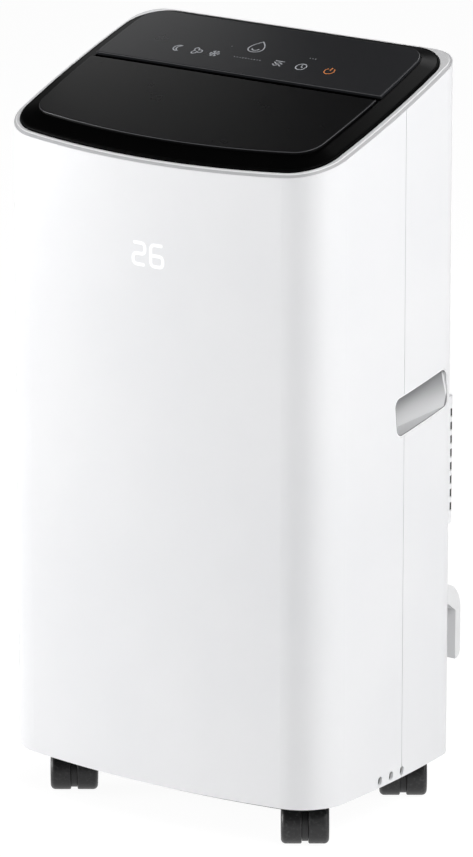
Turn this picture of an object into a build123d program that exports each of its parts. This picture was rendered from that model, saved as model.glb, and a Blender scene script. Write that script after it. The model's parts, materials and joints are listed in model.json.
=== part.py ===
"""Portable air conditioner: a white shell of four panels on swivel casters, a slanted
black top with a hinged air louver, and the cooling circuit inside.

Millimetres. +Z is up, the front faces -Y and +X is to the viewer's right.
The origin is on the floor, under the middle of the whole machine.
"""
import os
from math import acos, cos, degrees, hypot, radians, sin

from build123d import *

# Fits and gaps
SLIP = 0.3            # between pieces that slide or turn on each other
SEAT = 0.2            # between pieces that only stand in each other
REVEAL = 0.8          # step that sets one cover back from its neighbour

# Housing outline and walls
BODY_W = 395.0        # widest place, half way back
BODY_D = 250.0        # front corner line to the rear wall
FRONT_BOW = 21.0      # how far the front swells forward
SIDE_BOW = 6.5        # how far each side swells
FRONT_R = 53.0        # upright front corners
REAR_R = 35.0         # upright rear corners
LEAST_R = 16.0        # smallest corner left when an outline is drawn inward
WALL = 2.8
GROUND = 50.0         # lower edge of the shell above the floor
FRONT_H = 635.5       # shell height at the middle of the front
SEAM_BACK = 111.0     # seam of front and side shells, from the rear wall
BACK_SIDE = 39.0      # seam of side shell and back panel inside the outline
SEAM_GAP = 0.8
TONGUE = 7.0          # lip of a side shell behind each seam
TONGUE_T = 1.6

# Slanted top
CAP_SLOPE = 17.2      # slant of the black top and of the shell's upper edge, degrees
CAP_RISE = 9.0        # seat of the panel above the rim at the front
CAP_DROP = 5.8        # foot of the black top below that seat
CAP_SIDE = 8.5        # black top inside the shell outline: sides, front, rear
CAP_FRONT = 4.0
CAP_REAR = 11.0
CAP_REAR_R = 52.0     # rear corners of the black top, taken at the shell outline
CAP_LIP = 2.5         # height of the outer edge
CAP_PLATE = 2.0       # plate below the foot
CAP_SHELF = 4.0       # trim under the plate
CAP_SKIRT = 14.0
CAP_SKIRT_T = 2.2
TRIM_REACH = 16.0     # bevel of the trim, along and across
TRIM_SKIRT = 9.0
TRIM_SHELF_T = 2.4
BAND_EDGE = 2.0       # outer edge left outside the sloping band
SEAT_TOP = 0.8
PANEL_INSET = 26.5    # flap and control panel inside the shell outline
PANEL_TOP = 4.2
PANEL_EDGE_R = 1.0
FLAP_T = 3.0
FLAP_END = 154.0      # rear edge of the flap along the slant
SLIT = 8.5            # gap between flap and control panel
CAP_GAP = 1.0         # between trim and black top
THROAT_FRONT = 57.0   # front edge of the air outlet under the flap
THROAT_R = 10.0
THROAT_T = 2.2
THROAT_DEEP = 36.0
HINGE_BACK = 8.0      # hinge line in front of the flap's rear edge
HINGE_DEEP = 8.0      # and below the seat
STUD_R = 4.0
ARM_T = 6.0
ARM_R = 6.5
BOSS_R = 8.0
BOSS_T = 5.0
FLAP_RIB = 4.0
FLAP_RIB_COUNT = 3
VANE_COUNT = 9
VANE_T = 2.0
VANE_DEEP = 14.0
LOUVER_MOTOR_R = 13.0
LOUVER_MOTOR_L = 16.0
LOUVER_MOTOR_SIDE = 26.1  # motor's outer end inside the housing outline
LOUVER_MOTOR_DROP = 9.0  # motor's middle below the hinge line
STUD_GRIP = 8.0       # right stud inside the motor
TOUCH_BOARD = (230.0, 60.0, 1.6)
TOUCH_DROP = 3.0

# Side grips
GRIP_L = 96.0
GRIP_H = 38.0
GRIP_TILT = 7.0       # rises to the rear, degrees
GRIP_R = 8.0
GRIP_DEEP = 26.0      # at the front end of the lip the fingers lift
GRIP_REAR = 8.0       # at the rear end of that lip
GRIP_SHALLOW = 3.0    # below its rear end
GRIP_T = 2.0
GRIP_FROM_REAR = 77.0
GRIP_Z = 381.0        # above the shell's lower edge

# Small vents low on both sides
VENT_COUNT = 3
VENT_PITCH = 19.5
VENT_LEAN = -12.0     # degrees from upright
VENT_Z = 7.0
VENT_SIZE = (6.5, 9.0)

# Display behind the front
DISPLAY_Z = 542.0
DISPLAY_BOARD = (84.0, 1.6, 50.0)
DISPLAY_LED = (50.0, 6.0, 34.0)
DISPLAY_GAP = 0.6
POST_R = 3.0

# Floor pan and casters
PAN_T = 2.5
PAN_H = 24.0
PAN_SKIRT = 6.0
PAN_SKIRT_IN = 14.0   # skirt inside the housing outline
CASTER_SIDE = 55.5    # swivel line inside the housing outline
CASTER_FRONT = 69.5   # swivel line behind the middle of the front
CASTER_REAR = 25.0    # swivel line ahead of the rear wall
CASTER_TURN = 35.0    # all four stand turned to one side, degrees
TRAIL = 10.0
WHEEL_R = 22.0
WHEEL_W = 21.0
WHEEL_OUTER_R = 5.0   # rounding of the tread's outer and inner edge
WHEEL_INNER_R = 1.5
WHEEL_DISH = 3.0      # hub face below the rim
WEB_T = 6.0
WEB_SET = 2.5         # web between the wheels inside their tread
FORK_GAP = 1.0        # between tread and swivel plate
FORK_R = 20.0
AXLE_R = 3.0
STEM_R = 5.0
STEM_L = 14.0
CASTER_TOP_GAP = 1.5

# Cooling circuit, stacked from the rear wall forward
DECK_H = 364.0        # drip tray above the shell's lower edge
DECK_T = 3.0
TRAY_H = 16.0
COIL_SIDE = 59.0      # coil ends inside the shell outline
COIL_T = 28.0
COIL_BACK = 12.0
EVAPORATOR_H = 226.0
CONDENSER_H = 150.0
FIN_COUNT = 24
FIN_GAP = 3.0
FIN_DEEP = 4.0
COIL_LIFT = 6.0
SCROLL_GAP = 8.0      # between coil and fan housing
SCROLL_T = 2.0
BLOWER_R = 80.0
BLOWER_W = 64.0
BLOWER_RISE = 112.0   # blower shaft above the tray
CFAN_R = 68.0
CFAN_W = 58.0
CFAN_DROP = 96.0      # condenser fan shaft below the tray
CFAN_X = 30.0
FAN_END_GAP = 4.0
SPIRAL = 8.0          # growth of a fan housing each quarter turn
SPIRAL_GAP = 6.0
OUTLET_NECK = 6.0     # outlet of a fan housing beyond the start of its spiral
INLET_SHARE = 0.78
BLADE_COUNT = 24
BLADE_T = 1.6
BLADE_DEEP = 16.0
HUB_R = 14.0
SHAFT_R = 5.0
MOTOR_R = 42.0
MOTOR_L = 46.0

COMPRESSOR_R = 52.0
COMPRESSOR_H = 196.0
COMPRESSOR_DOME = 18.0
COMPRESSOR_LAP = (24.0, 5.3)  # the round can reaches this far round the corner of the exhaust duct
FOOT_T = 3.0
FOOT_R = 9.0
FOOT_H = 16.0
ACCUMULATOR_R = 22.0
ACCUMULATOR_H = 110.0
ACCUMULATOR_GAP = 3.0
PIPE_R = 4.0
LIQUID_R = 2.5
PIPE_BEND = 12.0

# Exhaust, rear covers, drains
EXHAUST_R = 70.0
EXHAUST_DROP = 16.0   # exhaust duct below the condenser
EXHAUST_T = 3.0
EXHAUST_OUT = 20.0
EXHAUST_IN = 8.0
EXHAUST_FLANGE = 12.0
HOSE_RIB_COUNT = 4
GUARD_COUNT = 5
GUARD_T = 3.0
DUCT_HALF = 76.0
GRILLE_SIDE = 19.5    # ends of the lower grille inside the housing outline
GRILLE_PROUD = 12.0
GRILLE_Z = 234.0      # lower edge above the shell's lower edge
GRILLE_T = 2.4
GRILLE_R = 9.0
GRILLE_ROWS = 8
GRILLE_COLUMNS = 4
ROW_PITCH = 14.0
ROW_H = 9.0
ROW_BAR = 10.0
COVER_SIDE = 33.5
COVER_PROUD = 9.0
COVER_Z = 394.0
COVER_ROWS = 17
COVER_COLUMNS = 3
WINDOW_SIDE = 69.5    # ends of the openings behind the covers
FILTER_T = 3.5
FILTER_EDGE = 7.0
FILTER_HOLE = 22.0
FILTER_BAR = 3.0
HOOK_SIDE = 31.5
HOOK_Z = 84.0
HOOK_H = 84.0
HOOK_W = 14.0
HOOK_REACH = 32.0
HOOK_T = 9.0
HOOK_ARM = 16.0
DRAIN_SIDE = 85.5
DRAIN_R = 7.0
DRAIN_BORE = 4.5
DRAIN_OUT = 6.0
DRAIN_Z = 10.0        # above the floor of pan or tray
PLUG_HEAD_R = 8.5
PLUG_HEAD_T = 5.0
PLUG_L = 11.0
GLAND_SIDE = 79.5
GLAND_Z = 36.0
GLAND_R = 7.0
GLAND_FLANGE_R = 11.0
GLAND_BORE = 4.0
SCREW_R = 2.0
SCREW_HEAD_R = 4.0
SCREW_L = 12.0
SCREW_SIDE = 49.5
SCREW_SLOT = 0.9      # width and depth of the cross in a screw head
PAN_SCREW_UP = 14.4   # screws above the underside of pan and tray
TRAY_SCREW_UP = 8.0
POWER_BOX = (92.0, 46.0, 140.0)
POWER_SIDE = 33.5     # end of the power box inside the housing outline
POWER_RIB_COUNT = 4
FLOAT_R = 11.0
FLOAT_H = 26.0

# Places worked out from the driving sizes
HALF_W = BODY_W / 2
BACK_HALF = HALF_W - BACK_SIDE
CASTER_X = HALF_W - CASTER_SIDE
GRILLE_HALF = HALF_W - GRILLE_SIDE
COVER_HALF = HALF_W - COVER_SIDE
WINDOW_HALF = HALF_W - WINDOW_SIDE
HOOK_X = HALF_W - HOOK_SIDE
DRAIN_X = HALF_W - DRAIN_SIDE
GLAND_X = GLAND_SIDE - HALF_W
SCREW_X = HALF_W - SCREW_SIDE
DEPTH = FRONT_BOW + BODY_D + HOOK_REACH
FRONT_Y = -DEPTH / 2
REAR_Y = FRONT_Y + FRONT_BOW + BODY_D
REAR_IN = REAR_Y - WALL
SEAM_Y = REAR_Y - SEAM_BACK
RIM_Z = GROUND + FRONT_H
CAP_Z = RIM_Z + CAP_RISE
TALL = RIM_Z + DEPTH
DECK_Z = GROUND + DECK_H
FLOOR_Z = GROUND + PAN_T
COIL_HALF = HALF_W - COIL_SIDE
COIL_Y = REAR_IN - COIL_BACK - COIL_T
SCROLL_Y = COIL_Y - SCROLL_GAP
BLOWER_Z = DECK_Z + DECK_T + BLOWER_RISE
CFAN_Z = DECK_Z - CFAN_DROP
CONDENSER_Z = DECK_Z - COIL_LIFT - CONDENSER_H
EXHAUST_MID = CONDENSER_Z - EXHAUST_DROP - 2 * SCROLL_T - EXHAUST_R
DUCT_FRONT = SCROLL_Y - CFAN_W - 2 * FAN_END_GAP - 2 * SCROLL_T
DUCT_REAR = REAR_IN - EXHAUST_IN - SEAT
PAN_INSET = WALL + SEAT
HINGE_V = FLAP_END - HINGE_BACK
THROAT_REAR = FLAP_END + SLIT
STUD_END = HALF_W - LOUVER_MOTOR_SIDE - LOUVER_MOTOR_L - SEAT
THROAT_HALF = STUD_END - BOSS_T - THROAT_T
BOARD_Y = FRONT_Y + WALL + DISPLAY_GAP + DISPLAY_LED[1]
SWING = hypot(TRAIL + WHEEL_R, WEB_T / 2 + WHEEL_W) + CASTER_TOP_GAP
PIPE_X = COIL_HALF + PIPE_BEND + PIPE_R
SUCTION_Y = COIL_Y - 2 * PIPE_BEND
BLOWER_X = -(BLOWER_R + SPIRAL_GAP + 3 * SPIRAL) / 2
BLOWER_REACH = BLOWER_R + SPIRAL_GAP + OUTLET_NECK
CFAN_REACH = CFAN_R + SPIRAL_GAP + OUTLET_NECK
COMPRESSOR_X = COMPRESSOR_LAP[0] - COMPRESSOR_R - DUCT_HALF
COMPRESSOR_Y = COMPRESSOR_LAP[1] - COMPRESSOR_R + DUCT_FRONT
POWER_X = HALF_W - POWER_SIDE - POWER_BOX[0]
FOOT_SPREAD = COMPRESSOR_R + FOOT_R / 2
ACCUMULATOR_X = COMPRESSOR_X + COMPRESSOR_R + ACCUMULATOR_R + ACCUMULATOR_GAP
RIM = Plane((0, FRONT_Y, RIM_Z), x_dir=(1, 0, 0), z_dir=(0, 0, 1)).rotated((CAP_SLOPE, 0, 0))
CAP = Plane((0, FRONT_Y, CAP_Z), x_dir=(1, 0, 0), z_dir=(0, 0, 1)).rotated((CAP_SLOPE, 0, 0))

os.makedirs("parts", exist_ok=True)


def box(x0, x1, y0, y1, z0, z1):
    """Box between two opposite corners."""
    return Pos((x0 + x1) / 2, (y0 + y1) / 2, (z0 + z1) / 2) * Box(x1 - x0, y1 - y0, z1 - z0)


def rod_x(radius, x0, x1, y, z):
    return Pos((x0 + x1) / 2, y, z) * Rot(0, 90, 0) * Cylinder(radius, x1 - x0)


def rod_y(radius, y0, y1, x, z):
    return Pos(x, (y0 + y1) / 2, z) * Rot(90, 0, 0) * Cylinder(radius, y1 - y0)


def rod_z(radius, z0, z1, x, y):
    return Pos(x, y, (z0 + z1) / 2) * Cylinder(radius, z1 - z0)


def below(solid, plane):
    return split(solid, bisect_by=plane, keep=Keep.BOTTOM)


def outline(slope, side, front, rear, corner=REAR_R):
    """Bowed outline of the machine on a plane of this slope, drawn inward by three insets.

    Three large circles bound the front and the sides and a straight line bounds the rear. The corner
    radius of the rear is taken at the outer outline.
    """
    stretch = 1 / cos(radians(slope))
    depth = BODY_D * stretch
    bow = FRONT_BOW * stretch
    half_chord = HALF_W - SIDE_BOW
    front_arc = (half_chord**2 + bow**2) / (2 * bow)
    side_arc = ((depth / 2) ** 2 + SIDE_BOW**2) / (2 * SIDE_BOW)
    middle = bow + depth / 2
    nose = Pos(0, front_arc) * Circle(front_arc - front)
    right = Pos(HALF_W - side_arc, middle) * Rot(0, 0, 180) * Circle(side_arc - side)
    left = Pos(side_arc - HALF_W, middle) * Circle(side_arc - side)
    rear_line = bow + depth - rear
    strip = Pos(0, rear_line - depth) * Rectangle(2 * BODY_W, 2 * depth)
    face = nose & right & left & strip
    rear_r = max(corner - max(side, rear), LEAST_R)
    front_r = max(FRONT_R - max(side, front), LEAST_R)
    face = fillet(face.vertices().sort_by(Axis.Y)[-2:], rear_r)
    return fillet(face.vertices().sort_by(Axis.Y)[:2], front_r)


def upright(inset, z0, z1):
    """Upright block with the machine's outline."""
    return Pos(0, FRONT_Y, z0) * extrude(outline(0, inset, inset, inset), z1 - z0)


def slab(side, front, rear, w0, w1):
    """Block with the machine's outline, square to the slanted top, from height w0 to w1."""
    face = outline(CAP_SLOPE, side, front, rear, CAP_REAR_R)
    return CAP.location * Pos(0, 0, w0) * extrude(face, w1 - w0)


def slant_box(x0, x1, v0, v1, w0, w1):
    """Box in the slanted top's own directions: across, up the slant, square to it."""
    return CAP.location * box(x0, x1, v0, v1, w0, w1)


def bevel_block(plane, outer, inner, w0, w1):
    """Block on a slanted plane whose sides lean in from the outer insets to the inner ones."""
    foot = Pos(0, 0, w0) * outline(CAP_SLOPE, *outer)
    crown = Pos(0, 0, w1) * outline(CAP_SLOPE, *inner)
    return plane.location * loft([foot, crown], ruled=True)


# Housing


GRIP_MIDDLE = Pos(HALF_W, REAR_Y - GRIP_FROM_REAR, GROUND + GRIP_Z)
GRIP_PLACE = GRIP_MIDDLE * Plane.YZ.location * Rot(0, 0, GRIP_TILT)


def grip_block(grow, deep):
    """Slanted block of the right hand recess, larger all round by grow."""
    face = Rectangle(GRIP_L + 2 * grow, GRIP_H + 2 * grow)
    face = fillet(face.vertices(), GRIP_R + grow)
    return Pos(0, 0, -deep) * extrude(face, deep + SIDE_BOW)


def grip_cup():
    """Hand recess: its floor slopes from shallow below and behind to deep at the front of the lip."""
    ahead = (GRIP_DEEP - GRIP_REAR) / GRIP_L
    up = (GRIP_REAR - GRIP_SHALLOW) / GRIP_H
    lean = Plane((GRIP_L / 2, -GRIP_H / 2, -GRIP_SHALLOW), (1, 0, ahead), (-ahead, up, 1))
    hollow = split(grip_block(0, GRIP_DEEP), bisect_by=lean, keep=Keep.TOP)
    outside = grip_block(GRIP_T, GRIP_DEEP + GRIP_T)
    cup = split(outside, bisect_by=lean.offset(-GRIP_T), keep=Keep.TOP) - hollow
    return (GRIP_PLACE * cup) & upright(REVEAL / 2, GROUND, TALL)


def shell_tube():
    """Wall of the housing, open above and below, with the grips and low vents cut through."""
    tube = below(upright(0, GROUND, TALL) - upright(WALL, GROUND - 1, TALL + 1), RIM)
    cuts = [GRIP_PLACE * grip_block(GRIP_T + SEAT, GRIP_DEEP)]
    slot = Rot(0, 0, VENT_LEAN) * SlotOverall(VENT_SIZE[1], VENT_SIZE[0], 90)
    for place in range(VENT_COUNT):
        at = Pos(HALF_W - GRIP_DEEP, SEAM_Y - place * VENT_PITCH, GROUND + VENT_Z)
        cuts.append(at * Plane.YZ.location * extrude(slot, 2 * GRIP_DEEP))
    for cut in cuts:
        tube -= cut
        tube -= mirror(cut, Plane.YZ)
    return tube


def front_shell(tube):
    """Front half of the housing, with four posts for the display board."""
    shell = tube & box(-BODY_W, BODY_W, FRONT_Y - 1, SEAM_Y - SEAM_GAP, 0, TALL)
    post_x = DISPLAY_BOARD[0] / 2 - POST_R
    post_z = DISPLAY_BOARD[2] / 2 - POST_R
    for x in (-post_x, post_x):
        for z in (-post_z, post_z):
            shell += rod_y(POST_R, FRONT_Y + WALL / 2 + REVEAL, BOARD_Y, x, GROUND + DISPLAY_Z + z)
    return shell


def side_shell(tube):
    """Right side of the housing, with lips behind its front seam and its rear seam."""
    shell = tube & box(BACK_HALF, BODY_W, SEAM_Y, REAR_Y + 1, 0, TALL)
    inside = upright(WALL + SEAT + TONGUE_T, GROUND, TALL + 1)
    ring = upright(WALL + SEAT, GROUND + PAN_H, TALL) - inside
    root = upright(WALL - SEAT, GROUND + PAN_H, TALL) - inside
    lip = ring & box(0, BODY_W, SEAM_Y - TONGUE, SEAM_Y + TONGUE, 0, TALL)
    lip += root & box(0, BODY_W, SEAM_Y + REVEAL, SEAM_Y + TONGUE, 0, TALL)
    rear = (REAR_Y - REAR_R / 2, REAR_Y, 0, TALL)
    lip += ring & box(BACK_HALF - TONGUE, BACK_HALF + TONGUE, *rear)
    lip += root & box(BACK_HALF + REVEAL, BACK_HALF + TONGUE, *rear)
    lip = below(lip, RIM.offset(-TRIM_SKIRT - SLIP))
    lip -= GRIP_PLACE * grip_block(GRIP_T + SEAT, 2 * GRIP_DEEP)
    return shell + lip


def back_panel(tube):
    """Flat rear wall between the side shells, with its windows and holes."""
    edge = BACK_HALF - SEAM_GAP
    panel = tube & box(-edge, edge, SEAM_Y, REAR_Y + 1, 0, TALL)
    wall = (REAR_IN - 1, REAR_Y + 1)
    low = GROUND + GRILLE_Z + ROW_BAR
    panel -= box(-WINDOW_HALF, WINDOW_HALF, *wall, low, low + GRILLE_ROWS * ROW_PITCH)
    high = GROUND + COVER_Z + ROW_BAR
    panel -= box(-WINDOW_HALF, WINDOW_HALF, *wall, high, high + COVER_ROWS * ROW_PITCH)
    panel -= rod_y(EXHAUST_R + EXHAUST_T + SEAT, *wall, 0, EXHAUST_MID)
    panel -= rod_y(DRAIN_R + SLIP, *wall, DRAIN_X, FLOOR_Z + DRAIN_Z)
    panel -= rod_y(DRAIN_R + SLIP, *wall, DRAIN_X, DECK_Z + DECK_T + DRAIN_Z)
    panel -= rod_y(GLAND_R, *wall, GLAND_X, GROUND + GLAND_Z)
    return panel - screw_shanks()


def screw_places():
    """Rear screws, two into the wall of the pan and two into the wall of the drip tray."""
    heights = (GROUND + PAN_SCREW_UP, DECK_Z + TRAY_SCREW_UP)
    return [(x, z) for x in (-SCREW_X, SCREW_X) for z in heights]


def screw_shanks():
    return [rod_y(SCREW_R, REAR_Y - SCREW_L, REAR_Y, x, z) for x, z in screw_places()]


def cover_screws():
    """Pan-head screws that hold the back panel, each with a cross in its head."""
    top = REAR_Y + SCREW_R
    slot = (top - SCREW_SLOT, top + SCREW_SLOT)
    long = SCREW_HEAD_R - SCREW_SLOT
    short = SCREW_SLOT / 2
    group = []
    for shank, (x, z) in zip(screw_shanks(), screw_places()):
        screw = shank + rod_y(SCREW_HEAD_R, REAR_Y, top, x, z)
        screw -= box(x - long, x + long, *slot, z - short, z + short)
        screw -= box(x - short, x + short, *slot, z - long, z + long)
        group.append(screw)
    return Compound(group)


# Slanted top


def cap_slab(extra, w0, w1):
    """Block with the black top's outline, drawn inward by extra."""
    return slab(CAP_SIDE + extra, CAP_FRONT + extra, CAP_REAR + extra, w0, w1)


def trim_ring():
    """Grey bevelled ring between the white shell and the black top, with a shelf under its plate."""
    foot = (REVEAL, REVEAL, REVEAL)
    crown = (REVEAL + TRIM_REACH, REVEAL + TRIM_REACH, REVEAL + TRIM_REACH)
    ring = below(bevel_block(RIM, foot, crown, 0, TRIM_REACH), CAP.offset(-CAP_DROP))
    skirt = upright(WALL + SEAT, GROUND, TALL)
    skirt -= upright(WALL + SEAT + CAP_SKIRT_T, GROUND - 1, TALL + 1)
    skirt = split(below(skirt, RIM.offset(SEAT)), bisect_by=RIM.offset(-TRIM_SKIRT), keep=Keep.TOP)
    ring += skirt
    shelf = -CAP_DROP - CAP_PLATE
    ring += slab(WALL + SEAT, WALL + SEAT, CAP_REAR, shelf - TRIM_SHELF_T, shelf)
    ring -= cap_slab(-CAP_GAP, shelf, TRIM_REACH)
    ring -= cap_slab(CAP_SHELF, -3 * CAP_SKIRT, TRIM_REACH)
    return ring


def throat_block(grow, w0, w1):
    """Upright block of the air outlet under the flap, in the slanted directions."""
    length = THROAT_REAR - THROAT_FRONT + 2 * grow
    face = Pos(0, (THROAT_REAR + THROAT_FRONT) / 2) * Rectangle(2 * (THROAT_HALF + grow), length)
    face = fillet(face.vertices(), THROAT_R + grow)
    return CAP.location * Pos(0, 0, w0) * extrude(face, w1 - w0)


def hinge_rod(radius, x0, x1):
    return CAP.location * rod_x(radius, x0, x1, HINGE_V, -HINGE_DEEP)


def top_frame():
    """Black frame: low edge, band sloping up to the seat, skirt, outlet throat and hinge bosses.

    A full-width slot behind the hinge line lets the flap's rear edge dip.
    """
    foot = -CAP_DROP
    frame = cap_slab(0, foot - CAP_PLATE, foot + CAP_LIP)
    frame = fillet(top_face(frame).edges(), PANEL_EDGE_R)
    edge = [inset + BAND_EDGE for inset in (CAP_SIDE, CAP_FRONT, CAP_REAR)]
    seat = 3 * [PANEL_INSET - REVEAL]
    band = ([*edge, CAP_REAR_R], [*seat, CAP_REAR_R])
    frame += bevel_block(CAP, *band, foot + CAP_LIP, SEAT_TOP)
    hollow = 3 * [PANEL_INSET - 2 * REVEAL]
    frame -= slab(*hollow, foot - CAP_PLATE - 1, -CAP_PLATE)
    frame += cap_slab(CAP_SHELF + SLIP, foot - CAP_SKIRT, foot - CAP_PLATE)
    frame -= cap_slab(CAP_SHELF + SLIP + CAP_SKIRT_T, foot - CAP_SKIRT - 1, foot - CAP_PLATE)
    frame += throat_block(THROAT_T, -THROAT_DEEP, -CAP_PLATE)
    frame -= throat_block(0, -THROAT_DEEP - 1, PANEL_TOP)
    tail = HALF_W - PANEL_INSET + REVEAL
    frame -= slant_box(-tail, tail, HINGE_V - REVEAL, THROAT_REAR, -HINGE_DEEP - STUD_R, PANEL_TOP)
    for end in (-1, 1):
        inner = end * (THROAT_HALF + THROAT_T / 2)
        outer = end * STUD_END
        frame += hinge_rod(BOSS_R, min(inner, outer), max(inner, outer))
    bore = STUD_END + STUD_GRIP + SLIP
    return frame - hinge_rod(STUD_R + SLIP, -bore, bore)


def top_face(piece):
    """Face of a piece that looks straight out of the slanted top."""
    return piece.faces().filter_by(lambda f: f.normal_at().dot(CAP.z_dir) > 0.99).sort_by(Axis.Z)[-1]


def panel_piece(v0, v1, w0, cut):
    """Part of the raised panel between two lines up the slant, rounded all round its top.

    The cut is the line on which this part faces the slit.
    """
    piece = slab(PANEL_INSET, PANEL_INSET, PANEL_INSET, w0, PANEL_TOP)
    piece = fillet(top_face(piece).edges(), PANEL_EDGE_R)
    piece &= slant_box(-BODY_W, BODY_W, v0, v1, w0 - 1, PANEL_TOP + 1)
    across = top_face(piece).edges().filter_by(Axis.X)
    slit_edge = min(across, key=lambda edge: abs(CAP.to_local_coords(edge @ 0.5).Y - cut))
    return fillet(slit_edge, PANEL_EDGE_R)


def louver_flap():
    """Air louver: a plate with ribs, and an arm with a moulded stud at each end."""
    under = PANEL_TOP - FLAP_T
    flap = panel_piece(0, FLAP_END, under, FLAP_END)
    rib_span = (HINGE_V - THROAT_FRONT) / (FLAP_RIB_COUNT + 1)
    rib_half = THROAT_HALF - 3 * ARM_T
    for place in range(1, FLAP_RIB_COUNT + 1):
        v = THROAT_FRONT + place * rib_span
        flap += slant_box(-rib_half, rib_half, v, v + THROAT_T, under - FLAP_RIB, under)
    for end in (-1, 1):
        near = end * (THROAT_HALF - REVEAL)
        far = end * (THROAT_HALF - REVEAL - ARM_T)
        x0 = min(near, far)
        x1 = max(near, far)
        flap += slant_box(x0, x1, HINGE_V - ARM_R, HINGE_V + ARM_R, -HINGE_DEEP, under)
        flap += hinge_rod(ARM_R, x0, x1)
        flap += hinge_rod(STUD_R, min(far, end * STUD_END), max(far, end * STUD_END))
    return flap + hinge_rod(STUD_R, STUD_END, STUD_END + STUD_GRIP)


def control_panel():
    """Fixed touch panel behind the flap."""
    return panel_piece(THROAT_REAR, 2 * BODY_D, SEAT_TOP, THROAT_REAR)


def touch_board():
    """Circuit board on two spacer bars under the control panel."""
    width, length, thick = TOUCH_BOARD
    v0 = THROAT_REAR + THROAT_T + CAP_SKIRT_T
    top = -CAP_PLATE - TOUCH_DROP
    board = slant_box(-width / 2, width / 2, v0, v0 + length, top - thick, top)
    for v in (v0 + CAP_SKIRT_T, v0 + length - 2 * CAP_SKIRT_T):
        board += slant_box(-width / 2, width / 2, v, v + CAP_SKIRT_T, top, -CAP_PLATE)
    return board


def louver_motor():
    """Small geared motor on the right hinge boss; its shaft sits above its middle."""
    start = STUD_END + SEAT
    middle = -HINGE_DEEP - LOUVER_MOTOR_DROP
    motor = CAP.location * rod_x(LOUVER_MOTOR_R, start, start + LOUVER_MOTOR_L, HINGE_V, middle)
    ear = LOUVER_MOTOR_R + BOSS_R
    ears = (HINGE_V - ear, HINGE_V + ear)
    motor += slant_box(start, start + THROAT_T, *ears, middle - STUD_R, middle + STUD_R)
    return motor - hinge_rod(STUD_R + SLIP, start - 1, STUD_END + STUD_GRIP + SLIP)


def outlet_grille():
    """Finger guard in the throat: a frame with upright vanes and one cross bar."""
    low = -THROAT_DEEP
    high = low + VANE_DEEP
    guard = throat_block(-SLIP, low, high) - throat_block(-SLIP - THROAT_T, low - 1, high + 1)
    pitch = 2 * THROAT_HALF / (VANE_COUNT + 1)
    along = (THROAT_FRONT + THROAT_T, THROAT_REAR - THROAT_T)
    for place in range(1, VANE_COUNT + 1):
        x = -THROAT_HALF + place * pitch
        guard += slant_box(x - VANE_T / 2, x + VANE_T / 2, *along, low, high)
    middle = (THROAT_FRONT + THROAT_REAR) / 2
    end = THROAT_HALF - THROAT_T
    guard += slant_box(-end, end, middle, middle + VANE_T, low, low + VANE_DEEP / 2)
    return guard


# Display behind the front


def display_board():
    width, thick, height = DISPLAY_BOARD
    z = GROUND + DISPLAY_Z
    return box(-width / 2, width / 2, BOARD_Y, BOARD_Y + thick, z - height / 2, z + height / 2)


def led_display():
    """Two-digit lamp block that shines through the front wall."""
    width, thick, height = DISPLAY_LED
    z = GROUND + DISPLAY_Z
    return box(-width / 2, width / 2, BOARD_Y - thick, BOARD_Y, z - height / 2, z + height / 2)


# Floor pan and casters


def caster_places():
    """Names and swivel lines of the four casters."""
    front = FRONT_Y + CASTER_FRONT
    rear = REAR_Y - CASTER_REAR
    return {
        "front_left": (-CASTER_X, front),
        "front_right": (CASTER_X, front),
        "rear_left": (-CASTER_X, rear),
        "rear_right": (CASTER_X, rear),
    }


def base_pan():
    """Floor pan: low walls, a skirt cleared around the casters, stem sockets and a drain."""
    pan = upright(PAN_INSET, GROUND, GROUND + PAN_H)
    pan -= upright(PAN_INSET + PAN_T, GROUND + PAN_T, GROUND + PAN_H + 1)
    pan += upright(PAN_SKIRT_IN, GROUND - PAN_SKIRT, GROUND + PAN_T)
    pan -= upright(PAN_SKIRT_IN + PAN_T, GROUND - PAN_SKIRT - 1, GROUND)
    for x, y in caster_places().values():
        pan -= rod_z(SWING, GROUND - PAN_SKIRT - 1, GROUND, x, y)
        pan += rod_z(STEM_R + PAN_T + SLIP, GROUND, GROUND + STEM_L + PAN_T, x, y)
        pan -= rod_z(STEM_R + SLIP, GROUND - 1, GROUND + STEM_L + SLIP, x, y)
    z = FLOOR_Z + DRAIN_Z
    wall = REAR_Y - PAN_INSET - PAN_T
    pan += rod_y(DRAIN_R, wall, REAR_Y + DRAIN_OUT, DRAIN_X, z)
    pan -= rod_y(DRAIN_BORE, wall - 1, REAR_Y + DRAIN_OUT + 1, DRAIN_X, z)
    return pan - screw_shanks()


def caster_fork():
    """Fork of a twin-wheel caster: a round web between the wheels, swivel plate and stem."""
    half = WEB_T / 2
    neck = 2 * STEM_R
    under = 2 * WHEEL_R + FORK_GAP
    top = GROUND - CASTER_TOP_GAP
    fork = rod_x(WHEEL_R - WEB_SET, -half, half, -TRAIL, WHEEL_R)
    fork += box(-half, half, -neck, neck, WHEEL_R, top)
    fork += rod_z(FORK_R, under, top, 0, 0)
    fork += rod_z(STEM_R, under, GROUND + STEM_L, 0, 0)
    return fork - rod_x(AXLE_R + SLIP / 2, -BODY_W, BODY_W, -TRAIL, WHEEL_R)


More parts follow.
